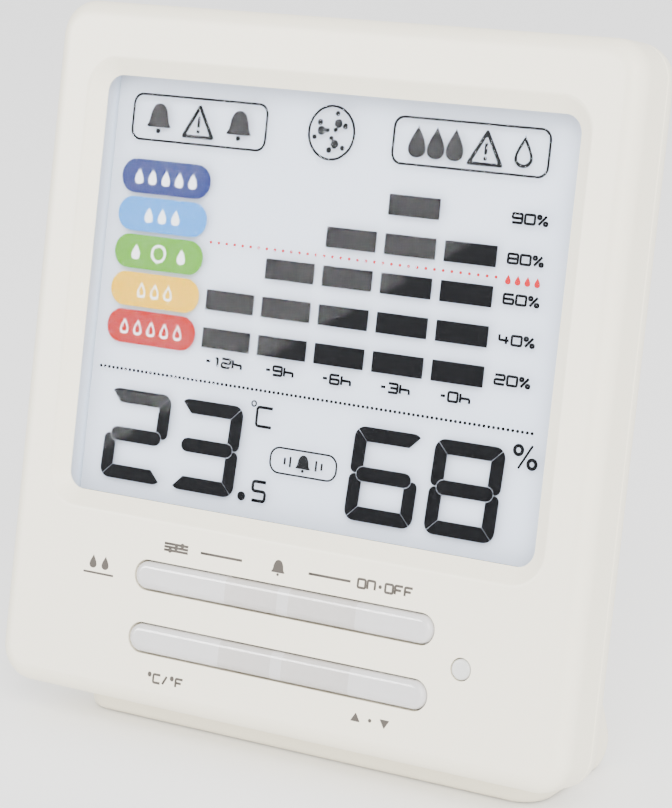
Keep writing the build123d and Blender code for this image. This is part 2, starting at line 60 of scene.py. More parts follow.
# Thickness of the print on the case and of the drawing, and the air behind the bonded glass
PRINT_HEIGHT = 0.03
ART_HEIGHT = 0.06
GLASS_SKIN = 0.03
# Corners of a mesh that lie nearer than this are one
WELD = 0.0005


def reach(node, axis):
    """How far a piece of the frame reaches along an axis: its lowest and highest place."""
    places = [axis.dot(vertex.co) for vertex in NODES[node].data.vertices]
    return min(places), max(places)


# The face leans back; its own axes run to the right, up the slope and out towards the reader
RIGHT = Vector((1.0, 0.0, 0.0))
UP = Vector(JOINTS["battery_door_slide"]["axis"]).normalized()
OUT = RIGHT.cross(UP)
FACE_LEVEL = reach("front_shell", OUT)[1]
WINDOW_CENTRE = sum((axis * sum(reach("window_pane", axis)) / 2 for axis in (RIGHT, UP)), OUT * FACE_LEVEL)
AXES = Matrix((RIGHT, UP, OUT)).transposed().to_4x4()
FACE = Matrix.Translation(WINDOW_CENTRE) @ AXES @ Matrix.Scale(MM, 4)
GLASS_GAP = (reach("lcd_front_glass", OUT)[0] + reach("lcd_rear_glass", OUT)[1]) / 2


def level(place):
    """How far above the face a place lies, in millimetres, from how far out it lies in the frame."""
    return (place - FACE_LEVEL) / MM


# The drawing lies between the two glasses, a little right of the window's centre and a little smaller
# than it was measured
ART_SHIFT = (1.13, -0.05)
ART_SCALE = (0.9945, 0.994)
ART_PLACE = FACE @ Matrix.Translation((*ART_SHIFT, level(GLASS_GAP)))
ART_PLACE @= Matrix.Diagonal((*ART_SCALE, 1.0, 1.0))
PRINT_PLACE = FACE @ Matrix.Translation((0.0, 0.0, 0.5 * PRINT_HEIGHT))


def span(node, axis):
    """A node's middle, from the window's centre, and half its length along an axis, in millimetres."""
    low, high = reach(node, axis)
    return ((low + high) / 2 - axis.dot(WINDOW_CENTRE)) / MM, (high - low) / (2 * MM)


def shade(red, green, blue):
    """A colour given in the 0 to 255 of a paint chart, as the linear colour that shaders take."""
    def linear(part):
        part /= 255
        return part / 12.92 if part <= 0.04045 else ((part + 0.055) / 1.055) ** 2.4
    return tuple(linear(part) for part in (red, green, blue))


# Outlines and strokes

def rounded(points, radius, closed=True, steps=4):
    """The same path with each corner softened; radius is how far before a corner the curve starts."""
    points = [Vector(point) for point in points]
    count = len(points)
    path = []
    for i, corner in enumerate(points):
        if not closed and i in (0, count - 1):
            path.append(corner)
            continue
        before = points[i - 1] - corner
        after = points[(i + 1) % count] - corner
        cut = min(radius, before.length * 0.5, after.length * 0.5)
        start = corner + before.normalized() * cut
        end = corner + after.normalized() * cut
        for k in range(steps + 1):
            t = k / steps
            path.append(start * (1 - t) ** 2 + corner * (2 * t * (1 - t)) + end * t ** 2)
    return path


def arc(u, v, radius, start, stop, steps=5):
    """A circle's arc between two angles in degrees."""
    angles = [radians(start + (stop - start) * i / steps) for i in range(steps + 1)]
    return [Vector((u + radius * cos(angle), v + radius * sin(angle))) for angle in angles]


def circle(u, v, radius, steps=32):
    return arc(u, v, radius, 0, 360, steps)[:-1]


def box(u, v, width, height, radius, steps=8):
    """A rectangle with round corners, centred on a place."""
    path = []
    for turn, (side, rise) in enumerate(((1, 1), (-1, 1), (-1, -1), (1, -1))):
        path += arc(u + side * (width / 2 - radius), v + rise * (height / 2 - radius), radius,
                    90 * turn, 90 * turn + 90, steps)
    return path


def ring(u, v, radius, width):
    return [circle(u, v, radius), circle(u, v, radius - width)]


def frame_of(u, v, width, height, radius, line):
    """A box's outline drawn with a line of that width."""
    return [box(u, v, width, height, radius),
            box(u, v, width - 2 * line, height - 2 * line, max(radius - line, 0.05))]


def drop(u, v, height):
    """A water drop with its tip upwards."""
    steps = 28
    return [Vector((u + 0.46 * height * sin(angle) * abs(sin(angle / 2)) ** 1.6,
                    v + 0.5 * height * cos(angle)))
            for angle in (2 * pi * i / steps for i in range(steps))]


def scaled(points, radius, u, v, size):
    """An outline drawn at size one, with soft corners, in its size and place."""
    return [Vector((u, v)) + point * size for point in rounded(points, radius)]


def warning(u, v, size):
    """A triangle with a line and a dot in it."""
    return [scaled([(-0.58, -0.48), (0.58, -0.48), (0, 0.52)], 0.12, u, v, size),
            scaled([(-0.4, -0.38), (0.4, -0.38), (0, 0.31)], 0.05, u, v, size),
            box(u, v - 0.02 * size, 0.085 * size, 0.32 * size, 0.04 * size),
            circle(u, v - 0.28 * size, 0.055 * size, 12)]


def bell(u, v, size):
    half = [(0.5, -0.3), (0.36, -0.12), (0.33, 0.16), (0.2, 0.4), (0.05, 0.46)]
    outline = half + [(-x, y) for x, y in reversed(half)]
    return [scaled(outline, 0.10, u, v, size), circle(u, v - 0.41 * size, 0.085 * size, 14)]


def square(left, low, right, top):
    """A closed stroke: its last corner is its first."""
    return [(left, low), (left, top), (right, top), (right, low), (left, low)]


# Each sign is drawn in a box one wide and one high
SIGNS = {
    "0": [square(0, 0, 1, 1)],
    "1": [[(0.35, 0.85), (0.7, 1), (0.7, 0)]],
    "2": [[(0, 1), (1, 1), (1, 0.5), (0, 0.5), (0, 0), (1, 0)]],
    "3": [[(0, 1), (1, 1), (1, 0), (0, 0)], [(0.2, 0.5), (1, 0.5)]],
    "4": [[(0, 1), (0, 0.4), (1, 0.4)], [(0.72, 0.85), (0.72, 0)]],
    "5": [[(1, 1), (0, 1), (0, 0.5), (1, 0.5), (1, 0), (0, 0)]],
    "6": [[(1, 1), (0, 1), (0, 0), (1, 0), (1, 0.5), (0, 0.5)]],
    "8": [square(0, 0, 1, 1), [(0, 0.5), (1, 0.5)]],
    "9": [[(1, 0.5), (0, 0.5), (0, 1), (1, 1), (1, 0), (0, 0)]],
    "h": [[(0, 1), (0, 0)], [(0, 0.5), (1, 0.5), (1, 0)]],
    "-": [[(0.1, 0.5), (0.9, 0.5)]],
    "/": [[(0.15, 0), (0.85, 1)]],
    "C": [[(1, 1), (0, 1), (0, 0), (1, 0)]],
    "F": [[(1, 1), (0, 1), (0, 0)], [(0, 0.5), (0.8, 0.5)]],
    "O": [square(0, 0, 1, 1)],
    "N": [[(0, 0), (0, 1), (1, 1), (1, 0)]],
    "°": [square(0.35, 0.72, 0.75, 1.06)],
    "%": [square(0, 0.68, 0.34, 1), square(0.66, 0, 1, 0.32), [(0.12, 0), (0.88, 1)]],
    "•": [square(0.4, 0.42, 0.6, 0.58)],
}
NARROW = {"-": 0.6, "1": 0.75, "°": 0.7, "•": 0.8, "/": 0.8}


def lettering(text, u, v, height, width, gap=0.0):
    """Strokes for a short text, centred on a place."""
    advances = [width * NARROW.get(sign, 1.0) for sign in text]
    length = sum(advances) + gap * (len(text) - 1)
    left = u - length / 2
    lines = []
    for sign, advance in zip(text, advances):
        for line in SIGNS[sign]:
            closed = line[0] == line[-1]
            corners = line[:-1] if closed else line
            places = [(left + x * advance, v + (y - 0.5) * height) for x, y in corners]
            lines.append((rounded(places, 0.16 * height, closed, 3), closed))
        left += advance + gap
    return lines


# Turning drawings into pieces

def link(name, data, finish=None):
    """Puts an object with that data in the scene."""
    piece = bpy.data.objects.new(name, data)
    bpy.context.scene.collection.objects.link(piece)
    if finish:
        data.materials.clear()
        data.materials.append(finish)
    return piece


def tidy(mesh, place):
    """Closes a mesh's seams, points its faces outwards and puts it in place."""
    shape = bmesh.new()
    shape.from_mesh(mesh)
    bmesh.ops.remove_doubles(shape, verts=shape.verts, dist=WELD)
    bmesh.ops.recalc_face_normals(shape, faces=shape.faces)
    shape.to_mesh(mesh)
    shape.free()
    mesh.transform(place)
    return mesh


def as_mesh(piece):
    """A plain mesh of what an object looks like with its modifiers, and the object itself is removed."""
    bpy.context.view_layer.update()
    graph = bpy.context.evaluated_depsgraph_get()
    mesh = bpy.data.meshes.new_from_object(piece.evaluated_get(graph))
    bpy.data.objects.remove(piece)
    return mesh


def curve_mesh(name, paths, **settings):
    """The plain mesh of a curve along paths, each given with whether it closes."""
    curve = bpy.data.curves.new(name, "CURVE")
    for key, value in settings.items():
        setattr(curve, key, value)
    for path, closed in paths:
        spline = curve.splines.new("POLY")
        spline.points.add(len(path) - 1)
        for point, place in zip(spline.points, path):
            point.co = (*place, 0.0, 1.0)
        spline.use_cyclic_u = closed
    return as_mesh(link(name + "_curve", curve))


def sheet(name, loops, at, height, finish, body="case"):
    """A thin piece cut from outlines on the face; an outline that lies inside another is a hole."""
    mesh = curve_mesh(name, [(loop, True) for loop in loops],
                      dimensions="2D", fill_mode="BOTH", extrude=height / 2)
    piece = link(name, tidy(mesh, at), finish)
    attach(piece, body)


def strokes(name, lines, width, at, height, finish, body="case"):
    """Flat strokes of one width along paths on the face, with softly domed tops."""
    mesh = curve_mesh(name, lines, dimensions="3D", bevel_depth=width / 2,
                      bevel_resolution=2, use_fill_caps=True)
    flat = Matrix.Diagonal((1.0, 1.0, height / width, 1.0))
    piece = link(name, tidy(mesh, at @ flat), finish)
    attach(piece, body)


def draw(name, loops, ink):
    """A piece of the display's drawing, cut from outlines."""
    sheet(name, loops, ART_PLACE, ART_HEIGHT, ink)


def draw_lines(name, lines, width, ink):
    """A piece of the display's drawing, made of strokes."""
    strokes(name, lines, width, ART_PLACE, ART_HEIGHT, ink)


def shrink(loop, distance):
    """The same outline, counter-clockwise, with its edge moved inwards."""
    result = []
    for i, corner in enumerate(loop):
        into = (corner - loop[i - 1]).normalized()
        away = (loop[(i + 1) % len(loop)] - corner).normalized()
        normal = Vector((-into.y - away.y, into.x + away.x))
        normal.normalize()
        lean = max(normal.dot(Vector((-into.y, into.x))), 0.5)
        result.append(corner + normal * (distance / lean))
    return result


# Shaders

class Socket:
    """A shader socket that can be used in arithmetic; each sum adds its Math nodes."""

    def __init__(self, tree, link_from):
        self.tree = tree
        self.link_from = link_from

    def math(self, operation, first, second=None):
        node = self.tree.nodes.new("ShaderNodeMath")
        node.operation = operation
        for slot, value in zip(node.inputs, (first, second)):
            if value is not None:
                plug(self.tree, slot, value)
        return Socket(self.tree, node.outputs[0])

    def __add__(self, other):
        return self.math("ADD", self, other)

    __radd__ = __add__

    def __sub__(self, other):
        return self.math("SUBTRACT", self, other)

    def __mul__(self, other):
        return self.math("MULTIPLY", self, other)

    def __truediv__(self, other):
        return self.math("DIVIDE", self, other)

    def __gt__(self, other):
        return self.math("GREATER_THAN", self, other)

    def __lt__(self, other):
        return self.math("LESS_THAN", self, other)

    def absolute(self):
        return self.math("ABSOLUTE", self)

    def wrapped(self, length):
        """The value counted again from 0 each time it passes a length."""
        return self.math("FLOORED_MODULO", self, length)

    def clamped(self):
        return self.math("MINIMUM", self.math("MAXIMUM", self, 0.0), 1.0)


def plug(tree, slot, value):
    """Gives a node's input a value, a colour or a link."""
    if isinstance(value, Socket):
        tree.links.new(value.link_from, slot)
    elif slot.type == "RGBA" and len(value) == 3:
        slot.default_value = (*value, 1.0)
    else:
        slot.default_value = value


class Finish:
    """A material in the making, with one Principled shader."""

    def __init__(self, name, **constants):
        self.material = bpy.data.materials.new(name)
        self.material.use_nodes = True
        self.tree = self.material.node_tree
        self.tree.nodes.clear()
        self.output = self.tree.nodes.new("ShaderNodeOutputMaterial")
        self.shader = self.tree.nodes.new("ShaderNodeBsdfPrincipled")
        self.tree.links.new(self.shader.outputs[0], self.output.inputs["Surface"])
        self.feed(**constants)

    def node(self, kind, settings=None, values=None, out=0):
        """Adds a node: its settings first, then its inputs; gives one of its outputs."""
        node = self.tree.nodes.new(kind)
        for key, value in (settings or {}).items():
            setattr(node, key, value)
        for key, value in (values or {}).items():
            plug(self.tree, node.inputs[key], value)
        return Socket(self.tree, node.outputs[out])

    def place(self):
        return self.node("ShaderNodeTexCoord", out="Object")

    def noise(self, scale, detail=2.0, roughness=0.5):
        return self.node("ShaderNodeTexNoise", values={
            "Vector": self.place(), "Scale": scale, "Detail": detail, "Roughness": roughness}, out="Fac")

    def along(self, axis):
        """How far a point lies along a direction of the frame, in millimetres."""
        dot = self.node("ShaderNodeVectorMath", {"operation": "DOT_PRODUCT"},
                        {0: self.place(), 1: tuple(axis)}, out="Value")
        return dot * (1 / MM)

    def mix(self, factor, first, second):
        """A colour between two others."""
        return self.node("ShaderNodeMix", {"data_type": "RGBA"}, {"Factor": factor, 6: first, 7: second}, 2)

    def bump(self, height, distance):
        """Relief of that height, in millimetres."""
        return self.node("ShaderNodeBump", values={
            "Height": height, "Distance": distance * MM, "Strength": 1.0})

    def feed(self, **values):
        """Gives inputs of the Principled shader their values or links."""
        for key, value in values.items():
            plug(self.tree, self.shader.inputs[key.replace("_", " ").title().replace("Ior", "IOR")], value)
        return self.material

    def show(self, factor, first, second):
        """Ends the material in a mix of two shaders."""
        mixed = self.node("ShaderNodeMixShader", values={0: factor, 1: first, 2: second})
        plug(self.tree, self.output.inputs["Surface"], mixed)
        return self.material


def moulded(name, colour, rough, grain=0.012, size=0.35):
    """Moulded plastic with faint flow marks and a satin grain of that height and size."""
    finish = Finish(name, ior=1.5, specular_ior_level=0.42)
    flow = finish.noise(45.0, 3.0)
    speckle = finish.noise(1 / (size * MM), 2.0, 0.6)
    darker = tuple(part * 0.975 for part in colour)
    return finish.feed(
        base_color=finish.mix(flow, darker, colour),
        roughness=rough + (flow - 0.5) * 0.06 + (speckle - 0.5) * 0.05,
        normal=finish.bump(speckle, grain),
    )


def printed(name, colour):
    """Printing ink: flat, with a fine tooth."""
    finish = Finish(name, ior=1.45, specular_ior_level=0.04)
    tooth = finish.noise(5200.0)
    paler = tuple(part * 1.06 + 0.002 for part in colour)
    return finish.feed(
        base_color=finish.mix(tooth, colour, paler),
        roughness=0.5 + (tooth - 0.5) * 0.1,
        normal=finish.bump(tooth, 0.002),
    )


def pane_glass(name, ior, tint):
    """A clear flat sheet: it lets light straight through and mirrors what lies before it."""
    finish = Finish(name)
    finish.tree.nodes.remove(finish.shader)
    smear = finish.noise(160.0, 3.0)
    gloss = finish.node("ShaderNodeBsdfAnisotropic", values={
        "Color": (1.0, 1.0, 1.0), "Roughness": 0.01 + smear * 0.03})
    clear = finish.node("ShaderNodeBsdfTransparent", values={"Color": tint})
    edge = finish.node("ShaderNodeFresnel", values={"IOR": ior})
    return finish.show(edge, clear, gloss)


def metal(name, colour, rough):
    """Plated or bare metal, a little cloudy."""
    finish = Finish(name, metallic=1.0)
    cloud = finish.noise(380.0, 4.0)
    fine = finish.noise(3800.0, 2.0)
    darker = tuple(part * 0.86 for part in colour)
    return finish.feed(
        base_color=finish.mix(cloud, darker, colour),
        roughness=rough + (cloud - 0.5) * 0.14 + (fine - 0.5) * 0.08,
        normal=finish.bump(fine, 0.003),
    )


# Sizes and colours that a user would change

COLOUR = {"subtype": "COLOR", "size": 3, "min": 0.0, "max": 1.0}


class CaseLook(bpy.types.PropertyGroup):
    plastic: FloatVectorProperty(
        name="Plastic", description="Colour of the moulded case", default=shade(247, 240, 219), **COLOUR)
    roughness: FloatProperty(
        name="Roughness", description="How matt the case is", default=0.42, min=0.0, max=1.0)
    legend: FloatVectorProperty(
        name="Legend", description="Colour of the print round the keys", default=shade(84, 79, 74), **COLOUR)
    legend_height: FloatProperty(
        name="Legend height", description="Height of the printed signs", default=0.00115, unit="LENGTH")
    legend_line: FloatProperty(
        name="Legend line", description="Width of the printed strokes", default=0.00034, unit="LENGTH")


class DisplayLook(bpy.types.PropertyGroup):
    ink: FloatVectorProperty(
        name="Segments", description="Colour of the dark segments", default=shade(6, 6, 8), **COLOUR)
    ground: FloatVectorProperty(
        name="Ground", description="Colour of the sheet behind the glass", default=shade(236, 242, 253),
        **COLOUR)
    # Painted glow: the sheet behind the glass is no lamp, yet it is given this light, and the frame beside
    # it more, to lift them brighter
    painted_glow: FloatProperty(
        name="Glow", description="Light that the sheet behind the glass spreads", default=0.24, min=0.0)
    digit_width: FloatProperty(
        name="Digit width", description="Width of a large digit", default=0.01075, unit="LENGTH")
    digit_height: FloatProperty(
        name="Digit height", description="Height of a large digit", default=0.0129, unit="LENGTH")
    digit_stroke: FloatProperty(
        name="Digit stroke", description="Width of a large digit's segments", default=0.00205, unit="LENGTH")
    bar_width: FloatProperty(
        name="Bar width", description="Width of a bar of the chart", default=0.00794, unit="LENGTH")
    bar_height: FloatProperty(
        name="Bar height", description="Height of a bar of the chart", default=0.00282, unit="LENGTH")
    dots_dark: IntProperty(
        name="Dark dots", description="Dots in the line above the digits", default=98, min=2)
    dots_red: IntProperty(
        name="Red dots", description="Dots in the red limit line", default=35, min=2)


class StageLook(bpy.types.PropertyGroup):
    floor: FloatVectorProperty(
        name="Floor", description="Colour of the floor and backdrop", default=(0.97, 0.97, 0.97), **COLOUR)
    sky: FloatProperty(name="Sky", description="Strength of the light from all round", default=1.9)
    key: FloatProperty(
        name="Key light", description="Power of the large lamp", default=32.0, unit="POWER")
    card: FloatProperty(
        name="Reflected lamp", description="Power of the lamp that the window mirrors", default=44.0,
        unit="POWER")


def look():
    return bpy.context.scene.hygrometer_case, bpy.context.scene.hygrometer_display


def refinish(material, *names):
    """Gives pieces of the frame a finish."""
    for name in names:
        for slot in NODES[name].material_slots:
            slot.material = material


# The display's drawing, measured on the display from the window's centre
LARGE_DIGITS = (("tens_of_degrees", "abged", -35.4), ("degrees", "abgcd", -23.2),
                ("tens_of_percent", "afgedc", 5.75), ("percent", "abcdefg", 18.3))
DIGIT_BASE = -27.4
DIGIT_SLANT = 0.045
DIGIT_CORNER = 1.6
HAIRLINE = 0.035
# Centre and radius, with the ring's line after them
DECIMAL_POINT = (-10.95, -26.75, 0.64)
DEGREE_RING = (-10.4, -13.8, 0.46, 0.2)
PERCENT_RINGS = ((31.33, -14.48, 0.82, 0.47), (33.51, -16.11, 0.82, 0.47))
PERCENT_SLASH = ((31.53, -16.87), (33.35, -13.68))
# Centre, height and width of a small sign
TENTHS = (-8.17, -25.72, 2.66, 2.1)
CELSIUS = (-8.5, -15.48, 2.62, 2.5)

BAR_COLUMN = -16.17
BAR_PITCH_U = 9.286
BAR_ROW = -5.72
BAR_PITCH_V = 5.3
BAR_HEIGHTS = (2, 3, 4, 5, 4)
ROW_LABELS = ("20%", "40%", "60%", "80%", "90%")
ROW_LABEL_U = 29.25
COLUMN_LABELS = ("-12h", "-9h", "-6h", "-3h", "-0h")
COLUMN_LABEL_V = -8.9
DARK_DOTS = ((-36.97, -11.75, 0), (33.04, -12.1, 0), 0.22)
RED_DOTS = ((-20.34, 7.53, 0), (25.17, 7.53, 0), 0.21)

BADGES = (("slate", (30, 44, 104)), ("sky", (56, 138, 214)), ("green", (84, 152, 30)),
          ("yellow", (236, 182, 0)), ("red", (170, 20, 16)))
BADGE_U = -29.0
BADGE_SIZE = (15.2, 4.8)
BADGE_TOP = 15.61
BADGE_PITCH = 5.32
BADGE_STEP = 2.3
BADGE_DROP = 2.3

# Centre, width and height of each frame
LEFT_FRAME = (-24.4, 23.97, 22.9, 6.7)
RIGHT_FRAME = (19.2, 24.15, 24.0, 6.6)
BELL_FRAME = (-1.45, -20.98, 11.0, 3.75)
FRAME_CORNER = 1.6
FRAME_LINE = 0.34
ROUND_SYMBOL = (-2.5, 24.2)
# Its dots, three times round: how far out, at which angle and how large
SYMBOL_DOTS = ((0.75, 0.2625, 0.34), (1.65, 0.5775, 0.62), (2.75, 0.9625, 0.36), (2.35, 2.2, 0.42))

# The rows of print above the keys, below them on the left, and below them on the right
LEGEND_TOP = -34.85
LEGEND_LEFT = -53.3
LEGEND_RIGHT = -52.65

# The mirrored lamp: its edge on the window, the pane's depth, how far off the lamp stands in metres, its
# length over its edge's, and its breadth over its length
GLARE_LINE = ((-32.8, -23.6), (37.9, 20.5))
PANE_DEPTH = 1.8
GLARE_AWAY = 1.3
GLARE_LENGTH = 1.9
GLARE_BREADTH = 0.8


def digit_segments(display):
    """The seven segments of a digit that stands on its lower left corner, as outlines."""
    width = display.digit_width / MM
    height = display.digit_height / MM
    stroke = display.digit_stroke / MM
    corner, waist = DIGIT_CORNER, height / 2
    bite = stroke / 2
    end = 0.85

    top = arc(width - corner, height - corner, corner, 45, 90)
    top += arc(corner, height - corner, corner, 90, 135)
    top += [Vector((stroke, height - stroke)), Vector((width - stroke, height - stroke))]
    side = arc(width - end, waist + end, end, -90, 0)
    side += arc(width - corner, height - corner, corner, 0, 45)
    side += [Vector((width - stroke, height - stroke))]
    side += arc(width - stroke, waist, bite, 90, 5)
    bar = arc(width - stroke, waist, bite, -90, 90) + arc(stroke, waist, bite, 90, 270)

    def flipped(loop, across_it, upright):
        turned = [Vector((width - p.x if across_it else p.x, height - p.y if upright else p.y))
                  for p in loop]
        return turned[::-1] if across_it != upright else turned

    return {"a": top, "b": side, "c": flipped(side, False, True), "d": flipped(top, False, True),
            "e": flipped(side, True, True), "f": flipped(side, True, False), "g": bar}


def large_digit(letters, left, display):
    """Some of a digit's segments, slanted and parted by hairlines, with its left edge at a place."""
    outlines = digit_segments(display)
    loops = []
    for letter in letters:
        thin = shrink(outlines[letter], HAIRLINE)
        loops.append([Vector((left + p.x + DIGIT_SLANT * p.y, DIGIT_BASE + p.y)) for p in thin])
    return loops


# Geometry Nodes

def wire(tree, *pairs):
    """Links outputs to inputs, each pair given as (node, output, node, input)."""
    for source, output, target, slot in pairs:
        tree.links.new(source.outputs[output], target.inputs[slot])


def repeating_tree(name, inputs, *kinds):
    """A node group that repeats a piece on points and inks it. Gives the tree, its input node, the node
    that repeats, and a node of each further kind."""
    tree = bpy.data.node_groups.new(name, "GeometryNodeTree")
    for label, kind in (("Geometry", "Geometry"), *inputs, ("Ink", "Material")):
        tree.interface.new_socket(label, in_out="INPUT", socket_type="NodeSocket" + kind)
    tree.interface.new_socket("Geometry", in_out="OUTPUT", socket_type="NodeSocketGeometry")
    given, result = tree.nodes.new("NodeGroupInput"), tree.nodes.new("NodeGroupOutput")
    spread, real, ink, *others = [tree.nodes.new("GeometryNode" + kind) for kind in (
        "InstanceOnPoints", "RealizeInstances", "SetMaterial", *kinds)]
    wire(tree, (spread, "Instances", real, "Geometry"), (real, "Geometry", ink, "Geometry"),
         (given, "Ink", ink, "Material"), (ink, "Geometry", result, "Geometry"))
    return tree, given, spread, *others


def run_tree(tree, base, values, name):
    """Runs a tree on a mesh with its inputs' values, and gives the plain mesh that it makes."""
    piece = link(name + "_base", base)
    modifier = piece.modifiers.new(name, "NODES")
    modifier.node_group = tree
    for item in tree.interface.items_tree:
        if item.name in values:
            modifier[item.identifier] = values[item.name]
    return as_mesh(piece)


def dot_row_tree():
    """Round dots at even steps along a line."""
    tree, given, spread, line, dot = repeating_tree(
        "Dot row", (("Count", "Int"), ("Start", "Vector"), ("End", "Vector"), ("Radius", "Float"),
                    ("Height", "Float")), "MeshLine", "MeshCylinder")
    line.mode = "END_POINTS"
    dot.inputs["Vertices"].default_value = 10
    wire(tree, (given, "Count", line, "Count"), (given, "Start", line, "Start Location"),
         (given, "End", line, "Offset"), (given, "Radius", dot, "Radius"), (given, "Height", dot, "Depth"),
         (line, "Mesh", spread, "Points"), (dot, "Mesh", spread, "Instance"))
    return tree


def scatter_tree():
    """One piece repeated on each point of a mesh."""
    tree, given, spread, shape = repeating_tree(
        "Repeated piece", (("Piece", "Object"), ("Turn", "Rotation")), "ObjectInfo")
    wire(tree, (given, "Piece", shape, "Object"), (given, "Geometry", spread, "Points"),
         (shape, "Geometry", spread, "Instance"), (given, "Turn", spread, "Rotation"))
    return tree


def dotted_line(name, count, start, end, radius, ink):
    values = {"Count": count, "Start": start, "End": end, "Radius": radius,
              "Height": ART_HEIGHT, "Ink": ink}
    mesh = run_tree(dot_row_tree(), bpy.data.meshes.new(name), values, name)
    mesh.transform(ART_PLACE)
    piece = link(name, mesh, ink)
    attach(piece, "case")


# Operators

class HYGRO_OT_case(bpy.types.Operator):
    """Gives the case's shells and the battery door their moulded finish"""
    bl_idname = "hygro.case"
    bl_label = "Case"

    def execute(self, context):
        case, _ = look()
        plastic = moulded("ivory_plastic", tuple(case.plastic), case.roughness)
        refinish(plastic, "front_shell", "back_shell", "battery_door")
        return {"FINISHED"}


class HYGRO_OT_digits(bpy.types.Operator):
    """Draws the large digits with their small signs"""
    bl_idname = "hygro.digits"
    bl_label = "Digits"

    def execute(self, context):
        _, display = look()
        ink = printed("segment_ink", tuple(display.ink))
        for name, letters, left in LARGE_DIGITS:
            draw(name, large_digit(letters, left, display), ink)
        draw("decimal_point", [circle(*DECIMAL_POINT)], ink)
        draw_lines("tenths", lettering("5", *TENTHS), 0.46, ink)
        draw_lines("degree_c", lettering("C", *CELSIUS), 0.42, ink)
        draw("degree_ring", ring(*DEGREE_RING), ink)
        draw("percent_rings", [loop for place in PERCENT_RINGS for loop in ring(*place)], ink)
        draw_lines("percent_slash", [(PERCENT_SLASH, False)], 0.32, ink)
        return {"FINISHED"}


class HYGRO_OT_chart(bpy.types.Operator):
    """Draws the bar chart with its labels and dotted lines"""
    bl_idname = "hygro.chart"
    bl_label = "Bar chart"

    def execute(self, context):
        _, display = look()
        ink = printed("chart_ink", tuple(display.ink))
        red = printed("limit_red", shade(196, 30, 40))
        columns = [BAR_COLUMN + BAR_PITCH_U * column for column in range(len(BAR_HEIGHTS))]
        rows = [BAR_ROW + BAR_PITCH_V * row for row in range(max(BAR_HEIGHTS))]
        size = (display.bar_width / MM, display.bar_height / MM)
        bars = [box(u, v, *size, 0.05, 1) for u, count in zip(columns, BAR_HEIGHTS) for v in rows[:count]]
        draw("chart_bars", bars, ink)
        labels = []
        for text, v in zip(ROW_LABELS, rows):
            labels += lettering(text, ROW_LABEL_U, v, 1.2, 1.45, 0.42)
        for text, u in zip(COLUMN_LABELS, columns):
            labels += lettering(text, u, COLUMN_LABEL_V, 1.2, 1.4, 0.42)
        draw_lines("chart_labels", labels, 0.36, ink)
        dotted_line("dark_dotted_line", display.dots_dark, *DARK_DOTS, ink)
        dotted_line("red_dotted_line", display.dots_red, *RED_DOTS, red)
        draw("red_drops", [drop(27.0 + 1.45 * i, 7.4, 1.3) for i in range(4)], red)
        return {"FINISHED"}


class HYGRO_OT_badges(bpy.types.Operator):
    """Draws the five coloured badges with their signs"""
    bl_idname = "hygro.badges"
    bl_label = "Badges"

    def signs(self, rank, v):
        """Full drops on the upper badges, two and a ring on the middle one, open drops on the lower."""
        if rank == 2:
            drops = [drop(BADGE_U + side * 1.7 * BADGE_STEP, v, BADGE_DROP) for side in (-1, 1)]
            return drops + ring(BADGE_U, v, 1.3, 0.38)
        count = 5 - 2 * rank if rank < 2 else 2 * rank - 3
        loops = []
        for i in range(count):
            u = BADGE_U + BADGE_STEP * (i - (count - 1) / 2)
            loops.append(drop(u, v, BADGE_DROP))
            if rank > 2:
                loops.append(drop(u, v - 0.06, BADGE_DROP - 0.85))
        return loops

    def execute(self, context):
        white = printed("badge_white", shade(252, 252, 252))
        for rank, (name, colour) in enumerate(BADGES):
            v = BADGE_TOP - BADGE_PITCH * rank
            plate = [box(BADGE_U, v, *BADGE_SIZE, BADGE_SIZE[1] / 2 - 0.01)]
            signs = self.signs(rank, v)
            draw(f"{name}_badge", plate + signs, printed(f"{name}_ink", shade(*colour)))
            draw(f"{name}_signs", signs, white)
        return {"FINISHED"}


class HYGRO_OT_symbols(bpy.types.Operator):
    """Draws the framed symbols at the display's top and between the digits"""
    bl_idname = "hygro.symbols"
    bl_label = "Symbols"

    def execute(self, context):
        _, display = look()
        dark = printed("symbol_ink", tuple(part + 0.008 for part in display.ink))
        u, v = LEFT_FRAME[:2]
        left = frame_of(*LEFT_FRAME, FRAME_CORNER, FRAME_LINE)
        left += bell(u - 6.8, v, 4.4) + warning(u, v, 5.0) + bell(u + 6.8, v, 4.4)
        draw("left_frame", left, dark)
        u, v = RIGHT_FRAME[:2]
        right = frame_of(*RIGHT_FRAME, FRAME_CORNER, FRAME_LINE)
        right += [drop(u - 8.1 + 2.9 * i, v, 4.3) for i in range(3)]
        right += warning(u + 2.4, v, 5.0)
        right += [drop(u + 8.1, v, 4.3), drop(u + 8.1, v - 0.15, 3.0)]
        draw("right_frame", right, dark)
        u, v = ROUND_SYMBOL
        icon = ring(u, v, 3.8, FRAME_LINE)
        for turn in range(3):
            for away, lead, radius in SYMBOL_DOTS:
                angle = radians(20 + 120 * turn) + lead
                icon.append(circle(u + away * cos(angle), v + away * sin(angle), radius, 16))
        draw("round_symbol", icon, dark)
        u, v = BELL_FRAME[:2]
        oval = frame_of(*BELL_FRAME, FRAME_CORNER, 0.26) + bell(u, v + 0.03, 2.5)
        for side in (-1, 1):
            for i in range(2):
                oval.append(box(u + side * (2.1 + 0.9 * i), v, 0.3, 1.5 - 0.5 * i, 0.14))
        draw("bell_sign", oval, dark)
        return {"FINISHED"}


